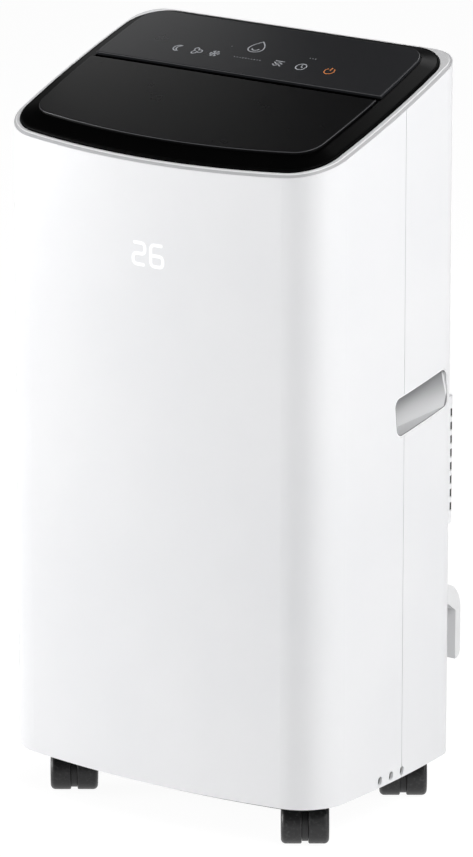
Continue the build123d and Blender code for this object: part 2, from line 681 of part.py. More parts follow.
def caster_wheels():
    """Two wheels with rounded treads and sunk hub faces."""
    near = WEB_T / 2 + SLIP
    far = WEB_T / 2 + WHEEL_W
    wheel = rod_x(WHEEL_R, near, far, -TRAIL, WHEEL_R)
    wheel = fillet(wheel.edges().filter_by(GeomType.CIRCLE).sort_by(Axis.X)[-1], WHEEL_OUTER_R)
    wheel = fillet(wheel.edges().filter_by(GeomType.CIRCLE).sort_by(Axis.X)[0], WHEEL_INNER_R)
    wheel -= rod_x(WHEEL_R - 2 * WHEEL_OUTER_R, far - WHEEL_DISH, far + WHEEL_DISH, -TRAIL, WHEEL_R)
    wheel -= rod_x(AXLE_R, 0, BODY_W, -TRAIL, WHEEL_R)
    return Compound([wheel, mirror(wheel, Plane.YZ)])


def caster_axle():
    reach = WEB_T / 2 + WHEEL_W - WHEEL_DISH
    return rod_x(AXLE_R, -reach, reach, -TRAIL, WHEEL_R)


# Cooling circuit


def drip_tray():
    """Deck between the cold and the warm side, with a raised edge, pipe holes and a drain."""
    inset = WALL + SEAT + TONGUE_T + SLIP
    tray = upright(inset, DECK_Z, DECK_Z + TRAY_H)
    tray -= upright(inset + PAN_T, DECK_Z + DECK_T, DECK_Z + TRAY_H + 1)
    z = DECK_Z + DECK_T + DRAIN_Z
    wall = REAR_Y - inset - PAN_T
    tray += rod_y(DRAIN_R, wall, REAR_Y + DRAIN_OUT, DRAIN_X, z)
    tray -= rod_y(DRAIN_BORE, wall - 1, REAR_Y + DRAIN_OUT + 1, DRAIN_X, z)
    cut = GRIP_PLACE * grip_block(GRIP_T + REVEAL, GRIP_DEEP + GRIP_T + REVEAL)
    tray -= cut
    tray -= mirror(cut, Plane.YZ)
    tray -= rod_z(PIPE_R + REVEAL, DECK_Z - 1, DECK_Z + TRAY_H, -PIPE_X, SUCTION_Y)
    tray -= rod_z(LIQUID_R + REVEAL, DECK_Z - 1, DECK_Z + TRAY_H, PIPE_X, COIL_Y + COIL_T / 2)
    return tray - screw_shanks()


def drain_plug(z):
    """Rubber plug in a drain, with a wide head to pull on."""
    start = REAR_Y + DRAIN_OUT
    plug = rod_y(DRAIN_BORE - SEAT, start - PLUG_L, start, DRAIN_X, z)
    plug += rod_y(PLUG_HEAD_R, start + SEAT, start + PLUG_HEAD_T, DRAIN_X, z)
    plug += rod_y(DRAIN_BORE - SEAT, start, start + SEAT, DRAIN_X, z)
    return plug


def coil(z0, height):
    """Finned coil block with end plates; the fins stand on its front and rear faces."""
    block = box(-COIL_HALF, COIL_HALF, COIL_Y, COIL_Y + COIL_T, z0, z0 + height)
    pitch = 2 * COIL_HALF / (FIN_COUNT + 1)
    tall = (z0 + FIN_DEEP, z0 + height - FIN_DEEP)
    gaps = []
    for place in range(1, FIN_COUNT + 1):
        x = -COIL_HALF + place * pitch
        for y in (COIL_Y, COIL_Y + COIL_T):
            cut_y = (y - FIN_DEEP, y + FIN_DEEP)
            gaps.append(box(x - FIN_GAP / 2, x + FIN_GAP / 2, *cut_y, *tall))
    return block - gaps


def scroll_face(start, reach, lip):
    """Snail outline round a fan: three quarter arcs, each larger by one step, then an outlet.

    The outlet points up; its inner wall stands at lip.
    """
    step = SPIRAL
    left = -start - 3 * step
    turn = degrees(acos(lip / start))
    one = CenterArc((0, 0), start, 0, turn)
    two = CenterArc((-step, 0), start + step, 270, 90)
    three = CenterArc((-step, step), start + 2 * step, 180, 90)
    walls = Polyline((left, step), (left, reach), (lip, reach), one @ 1)
    return make_face([one, two, three, *walls.edges()])


def fan_place(fan_w, x, z):
    """Place of a fan: its local Z runs from the motor side back to the inlet, its local Y up."""
    front = SCROLL_Y - fan_w - 2 * FAN_END_GAP - 2 * SCROLL_T
    return Plane((x, front, z), x_dir=(-1, 0, 0), z_dir=(0, 1, 0)).location


def scroll_housing(fan_r, fan_w, x, z, turn, reach):
    """Hollow fan housing on a level shaft, with a round inlet behind and a shaft hole in front."""
    start = fan_r + SPIRAL_GAP
    deep = fan_w + 2 * FAN_END_GAP
    housing = extrude(scroll_face(start + SCROLL_T, reach, SCROLL_T), deep + 2 * SCROLL_T)
    housing -= Pos(0, 0, SCROLL_T) * extrude(scroll_face(start, reach + SCROLL_T, 0), deep)
    housing -= Cylinder(SHAFT_R + 2 * SLIP, 3 * SCROLL_T)
    housing -= Pos(0, 0, deep + 1.5 * SCROLL_T) * Cylinder(INLET_SHARE * fan_r, 2 * SCROLL_T)
    return fan_place(fan_w, x, z) * Rot(0, 0, turn) * housing


def fan_wheel(fan_r, fan_w, x, z):
    """Squirrel-cage wheel: back plate, hub, curved blades and an end ring."""
    root = SCROLL_T + FAN_END_GAP
    plate = SCROLL_T + BLADE_T / 2
    wheel = Pos(0, 0, root + plate / 2) * Cylinder(fan_r, plate)
    wheel += Pos(0, 0, root + HUB_R) * Cylinder(HUB_R, 2 * HUB_R)
    ring = Cylinder(fan_r, plate) - Cylinder(fan_r - BLADE_DEEP / 2, plate)
    wheel += Pos(0, 0, root + fan_w - plate / 2) * ring
    bend = ThreePointArc(
        (fan_r - BLADE_DEEP, 0), (fan_r - BLADE_DEEP / 2, BLADE_DEEP / 5), (fan_r - REVEAL, BLADE_DEEP)
    )
    blade = extrude(trace(bend, BLADE_T), fan_w - 2 * plate)
    blade = Pos(0, 0, root + plate) * blade
    wheel += [Rot(0, 0, 360 * place / BLADE_COUNT) * blade for place in range(BLADE_COUNT)]
    wheel -= Pos(0, 0, root + HUB_R) * Cylinder(SHAFT_R, 4 * HUB_R)
    return fan_place(fan_w, x, z) * wheel


def fan_shaft(fan_w, x, z):
    root = SCROLL_T + FAN_END_GAP
    length = root + 2 * HUB_R + MOTOR_L / 2
    return fan_place(fan_w, x, z) * Pos(0, 0, root + 2 * HUB_R - length / 2) * Cylinder(SHAFT_R, length)


def fan_motor(fan_w, x, z):
    """Motor on the front of a fan housing, with a smaller nose and three ribs of fixing lugs."""
    body = Pos(0, 0, -MOTOR_L / 2) * Cylinder(MOTOR_R, MOTOR_L)
    body = fillet(body.edges().filter_by(GeomType.CIRCLE).sort_by(Axis.Z)[0], FOOT_R)
    body += Pos(0, 0, -MOTOR_L - FOOT_T) * Cylinder(HUB_R, 2 * FOOT_T)
    for place in range(3):
        lug = Pos(MOTOR_R, 0, -FOOT_T / 2) * Box(2 * HUB_R, HUB_R, FOOT_T)
        body += Rot(0, 0, 90 + 120 * place) * lug
    body -= Cylinder(SHAFT_R + SLIP, MOTOR_L + 2 * FOOT_T)
    return fan_place(fan_w, x, z) * body


def outlet_duct():
    """Flared duct from the blower's outlet up to the throat."""
    z0 = BLOWER_Z + BLOWER_REACH
    deep = BLOWER_W + 2 * FAN_END_GAP
    right = BLOWER_X + BLOWER_R + SPIRAL_GAP + 3 * SPIRAL
    middle_y = SCROLL_Y - SCROLL_T - deep / 2
    throat_v = (THROAT_FRONT + THROAT_REAR) / 2

    def flare(grow):
        foot = Rectangle(right - BLOWER_X + 2 * grow, deep + 2 * grow)
        foot = Pos((right + BLOWER_X) / 2, middle_y, z0 + SEAT) * foot
        long = THROAT_REAR - THROAT_FRONT - 2 * THROAT_R + 2 * grow
        mouth = Rectangle(2 * (THROAT_HALF - THROAT_R + grow), long)
        mouth = CAP.location * Pos(0, throat_v, -THROAT_DEEP - SEAT) * mouth
        return loft([foot, mouth], ruled=True)

    return flare(SCROLL_T) - flare(0)


def compressor():
    """Rotary compressor: domed can on a three-cornered foot plate."""
    z0 = FLOOR_Z + FOOT_H
    can = rod_z(COMPRESSOR_R, z0 + FOOT_T, z0 + FOOT_T + COMPRESSOR_H, COMPRESSOR_X, COMPRESSOR_Y)
    can = fillet(can.edges().filter_by(GeomType.CIRCLE).sort_by(Axis.Z)[-1], COMPRESSOR_DOME)
    plate = extrude(fillet(RegularPolygon(FOOT_SPREAD + 2 * FOOT_R, 3).vertices(), FOOT_R), FOOT_T)
    return can + Pos(COMPRESSOR_X, COMPRESSOR_Y, z0) * Rot(0, 0, 180) * plate


def compressor_feet():
    """Rubber feet under the corners of the compressor's plate."""
    group = []
    for place in range(3):
        turn = radians(180 + 120 * place)
        x = COMPRESSOR_X + FOOT_SPREAD * cos(turn)
        y = COMPRESSOR_Y + FOOT_SPREAD * sin(turn)
        group.append(rod_z(FOOT_R, FLOOR_Z, FLOOR_Z + FOOT_H, x, y))
    return Compound(group)


def accumulator():
    """Suction accumulator beside the compressor."""
    z0 = FLOOR_Z + FOOT_H + FOOT_T + COMPRESSOR_H / 4
    can = rod_z(ACCUMULATOR_R, z0, z0 + ACCUMULATOR_H, ACCUMULATOR_X, COMPRESSOR_Y)
    can = fillet(can.edges().filter_by(GeomType.CIRCLE), ACCUMULATOR_R / 2)
    return can


def pipe(radius, *corners):
    """Tube along straight runs with rounded corners."""
    path = FilletPolyline(*corners, radius=PIPE_BEND)
    start = corners[0]
    ahead = Vector(corners[1]) - Vector(start)
    return sweep(Plane(start, z_dir=ahead) * Circle(radius), path=path)


def discharge_pipe():
    top = FLOOR_Z + FOOT_H + FOOT_T + COMPRESSOR_H
    middle = COIL_Y + COIL_T / 2
    x = COMPRESSOR_X - HUB_R
    high = top + 3 * PIPE_BEND
    return pipe(
        PIPE_R,
        (x, COMPRESSOR_Y, top),
        (x, COMPRESSOR_Y, high),
        (-PIPE_X, COMPRESSOR_Y, high),
        (-PIPE_X, middle, high),
        (-COIL_HALF, middle, high),
    )


def suction_pipe():
    top = FLOOR_Z + FOOT_H + FOOT_T + COMPRESSOR_H / 4 + ACCUMULATOR_H
    middle = COIL_Y + COIL_T / 2
    cross = DECK_Z - 2 * PIPE_BEND
    high = DECK_Z + DECK_T + TRAY_H + 2 * PIPE_BEND
    return pipe(
        PIPE_R,
        (ACCUMULATOR_X, COMPRESSOR_Y, top),
        (ACCUMULATOR_X, COMPRESSOR_Y, cross),
        (-PIPE_X, COMPRESSOR_Y, cross),
        (-PIPE_X, SUCTION_Y, cross),
        (-PIPE_X, SUCTION_Y, high),
        (-PIPE_X, middle, high),
        (-COIL_HALF, middle, high),
    )


def liquid_line():
    middle = COIL_Y + COIL_T / 2
    low = DECK_Z - 4 * PIPE_BEND
    high = DECK_Z + DECK_T + TRAY_H + 2 * PIPE_BEND
    return pipe(
        LIQUID_R,
        (COIL_HALF, middle, low),
        (PIPE_X, middle, low),
        (PIPE_X, middle, high),
        (COIL_HALF, middle, high),
    )


def power_box():
    """Box of the power electronics, ribbed on its cover."""
    wide, deep, high = POWER_BOX
    y0 = FRONT_Y + FRONT_BOW + 2 * PAN_T
    z0 = FLOOR_Z + PAN_H
    case = box(POWER_X, POWER_X + wide, y0, y0 + deep, z0, z0 + high)
    for place in range(1, POWER_RIB_COUNT + 1):
        z = z0 + place * high / (POWER_RIB_COUNT + 1)
        case += box(POWER_X + FOOT_R, POWER_X + wide - FOOT_R, y0 - PAN_T, y0, z, z + PAN_T)
    return case


def float_switch():
    """Float that stops the machine when the pan is full."""
    y = FRONT_Y + FRONT_BOW + POWER_BOX[1] + 4 * FLOAT_R
    body = rod_z(FLOAT_R, FLOOR_Z + SEAT, FLOOR_Z + FLOAT_H, POWER_X, y)
    body += rod_z(FLOAT_R / 3, FLOOR_Z, FLOOR_Z + 2 * FLOAT_H, POWER_X, y)
    return body


# Exhaust and rear


def exhaust_duct():
    """Stepped box that turns the warm air from the condenser fan to the rear."""
    front = DUCT_FRONT
    step = SCROLL_Y + SEAT
    rear = DUCT_REAR
    low = GROUND + PAN_H + PAN_T
    top = CFAN_Z - CFAN_REACH - SEAT
    high = EXHAUST_MID + EXHAUST_R + 2 * SCROLL_T
    corners = [(front, low), (rear, low), (rear, high), (step, high), (step, top), (front, top)]
    side = make_face(Polyline(*corners, close=True))
    place = Plane.YZ.location
    case = place * extrude(side, DUCT_HALF, both=True)
    inside = offset(side, -SCROLL_T, kind=Kind.INTERSECTION)
    case -= place * extrude(inside, DUCT_HALF - SCROLL_T, both=True)
    case -= rod_y(EXHAUST_R - GUARD_T, rear - 2 * SCROLL_T, rear + 1, 0, EXHAUST_MID)
    left = CFAN_X - CFAN_R - SPIRAL_GAP - 3 * SPIRAL
    inlet = (front + SCROLL_T, SCROLL_Y - SCROLL_T)
    return case - box(left, CFAN_X, *inlet, top - 2 * SCROLL_T, top + 1)


def exhaust_collar():
    """Round outlet for the hose, with a flange on the rear wall and ribs that grip the hose."""
    inner = REAR_IN - EXHAUST_IN
    outer = REAR_Y + EXHAUST_OUT
    collar = rod_y(EXHAUST_R + EXHAUST_T, inner, outer, 0, EXHAUST_MID)
    collar += rod_y(EXHAUST_R + EXHAUST_FLANGE, REAR_Y, REAR_Y + EXHAUST_T, 0, EXHAUST_MID)
    for place in range(HOSE_RIB_COUNT):
        turn = radians(360 * (place + 0.5) / HOSE_RIB_COUNT)
        x = (EXHAUST_R + EXHAUST_T) * cos(turn)
        z = EXHAUST_MID + (EXHAUST_R + EXHAUST_T) * sin(turn)
        collar += rod_y(EXHAUST_T, REAR_Y + EXHAUST_T, outer - EXHAUST_T, x, z)
    return collar - rod_y(EXHAUST_R, inner - 1, outer + 1, 0, EXHAUST_MID)


def exhaust_guard():
    """Finger guard inside the exhaust duct, behind its round opening."""
    rear = DUCT_REAR - SCROLL_T
    reach = EXHAUST_R
    thick = (rear - GUARD_T, rear)
    half = GUARD_T / 2
    ring = rod_y(reach, *thick, 0, EXHAUST_MID)
    ring -= rod_y(reach - GUARD_T, rear - 2 * GUARD_T, rear + 1, 0, EXHAUST_MID)
    disc = rod_y(reach - half, *thick, 0, EXHAUST_MID)
    pitch = 2 * reach / (GUARD_COUNT + 1)
    bars = box(-reach, reach, *thick, EXHAUST_MID - half, EXHAUST_MID + half)
    for place in range(1, GUARD_COUNT + 1):
        x = -reach + place * pitch
        bars += box(x - half, x + half, *thick, EXHAUST_MID - reach, EXHAUST_MID + reach)
    return ring + (bars & disc)


def tray_cover(half, proud, z0, height):
    """Hollow cover on the rear wall, rounded outside, its rim fitted to the housing."""
    block = box(-half, half, REAR_Y - REAR_R, REAR_Y + proud, z0, z0 + height)
    block = fillet(block.edges().filter_by(Axis.Z).sort_by(Axis.Y)[-2:], GRILLE_R)
    inner = half - GRILLE_T
    inner_y = (REAR_Y - 2 * REAR_R, REAR_Y + proud - GRILLE_T)
    hollow = box(-inner, inner, *inner_y, z0 + GRILLE_T, z0 + height - GRILLE_T)
    hollow = fillet(hollow.edges().filter_by(Axis.Z).sort_by(Axis.Y)[-2:], GRILLE_R - GRILLE_T)
    return block - hollow - upright(-SEAT, z0 - 1, z0 + height + 1)


def condenser_grille():
    """Lower intake grille whose slots run round its side edges."""
    height = GRILLE_ROWS * ROW_PITCH + 2 * ROW_BAR
    z0 = GROUND + GRILLE_Z
    grille = tray_cover(GRILLE_HALF, GRILLE_PROUD, z0, height)
    outside = REAR_Y + 2 * GRILLE_PROUD
    slots = []
    for row in range(GRILLE_ROWS):
        z = z0 + ROW_BAR + row * ROW_PITCH + (ROW_PITCH - ROW_H) / 2
        for x0, x1 in slot_columns(GRILLE_HALF - 2 * GRILLE_R, GRILLE_COLUMNS):
            slots.append(box(x0, x1, REAR_Y, outside, z, z + ROW_H))
        for side in (-1, 1):
            ends = (side * (GRILLE_HALF - 2 * GRILLE_R + ROW_BAR), side * (GRILLE_HALF + GRILLE_R))
            slots.append(box(min(ends), max(ends), REAR_Y + GRILLE_T, outside, z, z + ROW_H))
    return grille - slots


def slot_columns(half, count):
    """Even slots across a cover, with bars between them."""
    width = (2 * half - (count - 1) * ROW_BAR) / count
    starts = [-half + place * (width + ROW_BAR) for place in range(count)]
    return [(start, start + width) for start in starts]


def filter_cover():
    """Upper intake cover that pulls off with the dust filter."""
    height = COVER_ROWS * ROW_PITCH + 2 * ROW_BAR
    z0 = GROUND + COVER_Z
    cover = tray_cover(COVER_HALF, COVER_PROUD, z0, height)
    slots = []
    for row in range(COVER_ROWS):
        z = z0 + ROW_BAR + row * ROW_PITCH + (ROW_PITCH - ROW_H) / 2
        for x0, x1 in slot_columns(COVER_HALF - 2 * GRILLE_R, COVER_COLUMNS):
            slots.append(box(x0, x1, REAR_Y, REAR_Y + 2 * COVER_PROUD, z, z + ROW_H))
    return cover - slots


def air_filter():
    """Dust filter: a framed net clipped inside the cover."""
    half = COVER_HALF - 2 * GRILLE_R
    z0 = GROUND + COVER_Z + ROW_BAR
    height = COVER_ROWS * ROW_PITCH
    rear = REAR_Y + COVER_PROUD - GRILLE_T
    frame = box(-half, half, rear - FILTER_T, rear, z0, z0 + height)
    wide = int((2 * half - 2 * FILTER_EDGE) / (FILTER_HOLE + FILTER_BAR))
    high = int((height - 2 * FILTER_EDGE) / (FILTER_HOLE + FILTER_BAR))
    grid = GridLocations(FILTER_HOLE + FILTER_BAR, FILTER_HOLE + FILTER_BAR, wide, high)
    holes = extrude(Sketch() + grid * Rectangle(FILTER_HOLE, FILTER_HOLE), 4 * FILTER_T)
    place = Plane((0, rear + FILTER_T, z0 + height / 2), x_dir=(1, 0, 0), z_dir=(0, -1, 0))
    return frame - place.location * holes


def cord_hooks():
    """Two hooks for winding the cord, each an arm with a rounded hanging flange."""
    low = GROUND + HOOK_Z
    high = low + HOOK_H
    reach = HOOK_REACH
    profile = make_face(
        [
            Line((-REAR_R, high), (0, high)),
            CenterArc((0, high - reach), reach, 90, -90),
            Line((reach, high - reach), (reach, low + HOOK_T)),
            CenterArc((reach - HOOK_T, low + HOOK_T), HOOK_T, 0, -90),
            Line((reach - HOOK_T, low), (reach - HOOK_T, high - reach)),
            Line((reach - HOOK_T, high - reach), (0, high - HOOK_ARM)),
            Line((0, high - HOOK_ARM), (-REAR_R, high - HOOK_ARM)),
            Line((-REAR_R, high - HOOK_ARM), (-REAR_R, high)),
        ]
    )
    place = Plane((HOOK_X - HOOK_W / 2, REAR_Y, 0), x_dir=(0, 1, 0), z_dir=(1, 0, 0))
    hook = place.location * extrude(profile, HOOK_W) - upright(0, low - 1, high + 1)
    return Compound([hook, mirror(hook, Plane.YZ)])


def cord_gland():
    """Rubber grommet where the supply cord would come out."""
    z = GROUND + GLAND_Z
    gland = rod_y(GLAND_R, REAR_IN - WALL, REAR_Y, GLAND_X, z)
    gland += rod_y(GLAND_FLANGE_R, REAR_Y, REAR_Y + WALL, GLAND_X, z)
    return gland - rod_y(GLAND_BORE, REAR_IN - 2 * WALL, REAR_Y + 2 * WALL, GLAND_X, z)


def build():
    """Every piece of the machine, by name."""
    tube = shell_tube()
    side = side_shell(tube)
    cup = grip_cup()
    parts = {
        "front_shell": front_shell(tube),
        "right_side_shell": side,
        "left_side_shell": mirror(side, Plane.YZ),
        "back_panel": back_panel(tube),
        "grip_right": cup,
        "grip_left": mirror(cup, Plane.YZ),
        "cover_screws": cover_screws(),
        "trim_ring": trim_ring(),
        "top_frame": top_frame(),
        "louver_flap": louver_flap(),
        "louver_motor": louver_motor(),
        "outlet_grille": outlet_grille(),
        "control_panel": control_panel(),
        "touch_board": touch_board(),
        "display_board": display_board(),
        "led_display": led_display(),
        "base_pan": base_pan(),
        "drip_tray": drip_tray(),
        "upper_drain_plug": drain_plug(DECK_Z + DECK_T + DRAIN_Z),
        "lower_drain_plug": drain_plug(FLOOR_Z + DRAIN_Z),
        "evaporator": coil(DECK_Z + DECK_T + COIL_LIFT, EVAPORATOR_H),
        "condenser": coil(CONDENSER_Z, CONDENSER_H),
        "blower_housing": scroll_housing(BLOWER_R, BLOWER_W, BLOWER_X, BLOWER_Z, 0, BLOWER_REACH),
        "blower_wheel": fan_wheel(BLOWER_R, BLOWER_W, BLOWER_X, BLOWER_Z),
        "blower_shaft": fan_shaft(BLOWER_W, BLOWER_X, BLOWER_Z),
        "blower_motor": fan_motor(BLOWER_W, BLOWER_X, BLOWER_Z),
        "outlet_duct": outlet_duct(),
        "condenser_fan_housing": scroll_housing(CFAN_R, CFAN_W, CFAN_X, CFAN_Z, 180, CFAN_REACH),
        "condenser_fan_wheel": fan_wheel(CFAN_R, CFAN_W, CFAN_X, CFAN_Z),
        "condenser_fan_shaft": fan_shaft(CFAN_W, CFAN_X, CFAN_Z),
        "condenser_fan_motor": fan_motor(CFAN_W, CFAN_X, CFAN_Z),
        "exhaust_duct": exhaust_duct(),
        "exhaust_collar": exhaust_collar(),
        "exhaust_guard": exhaust_guard(),
        "compressor": compressor(),
        "compressor_feet": compressor_feet(),
        "accumulator": accumulator(),
        "discharge_pipe": discharge_pipe(),
        "suction_pipe": suction_pipe(),
        "liquid_line": liquid_line(),
        "power_box": power_box(),
        "float_switch": float_switch(),
        "condenser_grille": condenser_grille(),
        "filter_cover": filter_cover(),
        "air_filter": air_filter(),
        "cord_hooks": cord_hooks(),
        "cord_gland": cord_gland(),
    }
    fork = caster_fork()
    wheels = caster_wheels()
    axle = caster_axle()
    for corner, (x, y) in caster_places().items():
        place = Pos(x, y, 0) * Rot(0, 0, CASTER_TURN)
        parts[f"{corner}_caster_fork"] = place * fork
        parts[f"{corner}_caster_wheels"] = place * wheels
        parts[f"{corner}_caster_axle"] = place * axle
    return parts


for name, solid in build().items():
    export_step(solid, f"parts/{name}.step")
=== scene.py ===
"""Looks of the portable air conditioner: a finish for every moulded and metal piece, the lit figures
behind the front wall, the printed marks on the touch panel, the filter's net, the fins of the two
coils, dark blocks in the ends of the lower grille's slots, and a plain white studio. Metres, in
the part's own frame: +Z up, the front faces -Y."""
import json
from math import cos, pi, radians, sin

import bmesh
import bpy
import numpy as np
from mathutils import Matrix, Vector


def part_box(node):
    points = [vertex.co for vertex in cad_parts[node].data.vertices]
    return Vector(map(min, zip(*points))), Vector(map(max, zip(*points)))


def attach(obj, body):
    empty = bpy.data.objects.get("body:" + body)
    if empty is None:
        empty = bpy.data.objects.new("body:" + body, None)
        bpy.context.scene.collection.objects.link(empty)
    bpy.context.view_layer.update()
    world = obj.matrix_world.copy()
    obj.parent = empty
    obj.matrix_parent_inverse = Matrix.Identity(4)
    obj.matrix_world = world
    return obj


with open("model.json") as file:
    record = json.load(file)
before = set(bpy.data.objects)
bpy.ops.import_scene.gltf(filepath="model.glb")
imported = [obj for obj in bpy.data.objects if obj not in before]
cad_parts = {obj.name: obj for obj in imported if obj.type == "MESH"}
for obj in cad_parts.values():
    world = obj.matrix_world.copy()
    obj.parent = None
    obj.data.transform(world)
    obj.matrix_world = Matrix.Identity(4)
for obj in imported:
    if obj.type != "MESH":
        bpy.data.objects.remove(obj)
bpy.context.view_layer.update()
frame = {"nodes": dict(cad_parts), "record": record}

MM = 0.001

# Places taken over from the part
FRONT_Y = -151.5 * MM
FRONT_ARC = 879.1 * MM      # radius of the bowed front wall
CAP_Z = 694.5 * MM          # seat of the slanted panel, at the middle of the front
CAP_SLOPE = radians(17.2)
PANEL_TOP = 4.2 * MM        # flap and touch panel above that seat
PANEL_EDGE = 1.0 * MM       # radius of their upper edges
TRIM_TOP = -5.8 * MM        # upper edge of the grey trim below it
TRIM_HIGHLIGHT = 1.0 * MM        # painted highlight: a pale line along that edge
GRIP_Y = 42.5 * MM          # middle of a hand recess
GRIP_Z = 431.0 * MM
GRIP_TILT = radians(7.0)
GRIP_HALF = (48.0 * MM, 19.0 * MM)
GRIP_R = 8.0 * MM
GRIP_RIM = 0.6 * MM         # its rim reaches this far in from the side wall
GRIP_SHADE_LINE = 0.5 * MM        # painted shade: a dark line round the opening
GRIP_BLUR = 0.4 * MM        # soft change of colour beside both
SIDE_X = 197.5 * MM         # widest place of the bowed side, and where it lies
SIDE_Y = -5.5 * MM
SIDE_ARC = 1205.2 * MM
ICON_LINE = 192.0 * MM      # icon row, up the slant
LAMP_LINE = 210.0 * MM

# Printed and lit marks
INK_T = 0.06 * MM
ICON_W = 1.25 * MM
FIGURES_X = 2.3 * MM        # middle of the two figures
FIGURES_Z = 594.7 * MM
FIGURE_W = 3.6 * MM
FIGURE_SIZE = (14.4 * MM, 21.6 * MM)
FIGURE_GAP = 6.8 * MM
FIGURE_BEND = 5.0 * MM

# Fine parts behind the grilles
THREAD_PITCH = 2.0 * MM
THREAD_T = 0.35 * MM
FIN_PITCH = 2.2 * MM
FIN_T = 0.3 * MM
FIN_OUT = 1.4 * MM
SLOT_Z = 301.0 * MM         # middle of the lowest slot of the lower grille
SLOT_PITCH = 14.0 * MM
SLOT_COUNT = 8
SLOT_BLOCK_X = (171.0 * MM, 176.0 * MM)     # from the middle of the part to the two ends of a block
SLOT_BLOCK_Y = (122.1 * MM, 127.9 * MM)
SLOT_BLOCK_H = 8.6 * MM

# Studio
FLOOR_HALF = 14.0
FLOOR_GLOW = 1.12
FLOOR_SHARE = 0.85          # of the floor's own white where the floor is seen
CAMERA_PLACE = (3.5099, -5.0299, 2.1582)
CAMERA_YAW = radians(34.893)
CAMERA_PITCH = radians(16.147)
CAMERA_LENS = 267.8         # in millimetres, as is the width of its sensor
CAMERA_SENSOR = 36.0


# Shader maths


class Wire:
    """One output of a finish's nodes. Arithmetic on it adds Math nodes."""

    def __init__(self, finish, socket):
        self.finish = finish
        self.socket = socket

    def maths(self, operation, first, second):
        return self.finish.add("ShaderNodeMath", {"operation": operation}, {0: first, 1: second})

    def __add__(self, other):
        return self.maths("ADD", self, other)

    def __radd__(self, other):
        return self.maths("ADD", other, self)

    def __sub__(self, other):
        return self.maths("SUBTRACT", self, other)

    def __rsub__(self, other):
        return self.maths("SUBTRACT", other, self)

    def __mul__(self, other):
        return self.maths("MULTIPLY", self, other)

    def __rmul__(self, other):
        return self.maths("MULTIPLY", other, self)

    def __gt__(self, other):
        return self.maths("GREATER_THAN", self, other)

    def __pow__(self, other):
        return self.maths("POWER", self, other)

    def __abs__(self):
        return self.maths("ABSOLUTE", self, 0)

    def above_zero(self):
        return self.maths("MAXIMUM", self, 0)


class Finish:
    """A material under construction: one shader, fed by patterns on Object coordinates."""

    def __init__(self, name):
        self.material = bpy.data.materials.new(name)
        self.material.use_nodes = True
        self.tree = self.material.node_tree
        self.shader = self.tree.nodes["Principled BSDF"]

    def add(self, kind, settings=None, inputs=None, output=0):
        """Any node: its settings are set first, then each input gets a value or a wire."""
        node = self.tree.nodes.new(kind)
        for name, value in (settings or {}).items():
            setattr(node, name, value)
        for name, value in (inputs or {}).items():
            self.feed(node.inputs[name], value)
        return Wire(self, node.outputs[output])

    def feed(self, socket, value):
        if isinstance(value, Wire):
            self.tree.links.new(value.socket, socket)
        else:
            socket.default_value = value

    def where(self, stretch=(1, 1, 1)):
        """Object coordinates, with each direction stretched."""
        place = self.add("ShaderNodeTexCoord", output="Object")
        return self.add("ShaderNodeMapping", {}, {"Vector": place, "Scale": stretch})

    def axes(self):
        """Object coordinates as three separate values."""
        place = self.add("ShaderNodeTexCoord", output="Object")
        return [self.add("ShaderNodeSeparateXYZ", {}, {0: place}, axis) for axis in range(3)]

    def noise(self, scale, detail=2.0, stretch=(1, 1, 1)):
        inputs = {"Vector": self.where(stretch), "Scale": scale, "Detail": detail}
        return self.add("ShaderNodeTexNoise", {}, inputs)

    def spread(self, value, low, high):
        """A pattern's middle values spread over 0 to 1, its ends held."""
        inputs = {"Value": value, "From Min": low, "From Max": high}
        return self.add("ShaderNodeMapRange", {"interpolation_type": "SMOOTHSTEP"}, inputs)

    def mix(self, factor, first, second):
        """Colour between two colours."""
        inputs = {0: factor, 6: first, 7: second}
        return self.add("ShaderNodeMix", {"data_type": "RGBA"}, inputs, 2)

    def bump(self, height, depth, strength=1.0):
        """Surface relief of this depth in metres."""
        inputs = {"Height": height, "Distance": depth, "Strength": strength}
        return self.add("ShaderNodeBump", {}, inputs)

    def surface(self, **sockets):
        """Feeds the shader; a socket's name is written with _ for a space."""
        for name, value in sockets.items():
            self.feed(self.shader.inputs[name.replace("_", " ")], value)
        return self.material


def rgb(red, green, blue):
    return (red, green, blue, 1.0)


# Finishes of the mouldings


def moulding(name, dark, light, gloss, grain, depth, specular=0.5):
    """Moulded plastic: faint clouds in its colour and gloss, and the grain of the mould."""
    finish = Finish(name)
    cloud = finish.spread(finish.noise(5, 3.0), 0.3, 0.7)
    flow = finish.noise(38, 2.0, (1, 1, 0.4))
    relief = finish.noise(grain, 2.0)
    return finish.surface(
        Base_Color=finish.mix(cloud * 0.7 + relief * 0.3, dark, light),
        Roughness=gloss * (0.88 + 0.12 * flow + 0.12 * relief),
        Specular_IOR_Level=specular,
        Normal=finish.bump(relief, depth),
    )


def white_shell():
    return moulding("white_shell", rgb(0.79, 0.795, 0.81), rgb(0.83, 0.832, 0.842), 0.36, 1500, 0.00003)


def white_plastic():
    return moulding("white_plastic", rgb(0.74, 0.745, 0.75), rgb(0.80, 0.80, 0.80), 0.45, 1100, 0.00004)


def seat_height(y, z):
    """Height above the slanted seat of the panel."""
    return (z - CAP_Z) * cos(CAP_SLOPE) - (y - FRONT_Y) * sin(CAP_SLOPE)


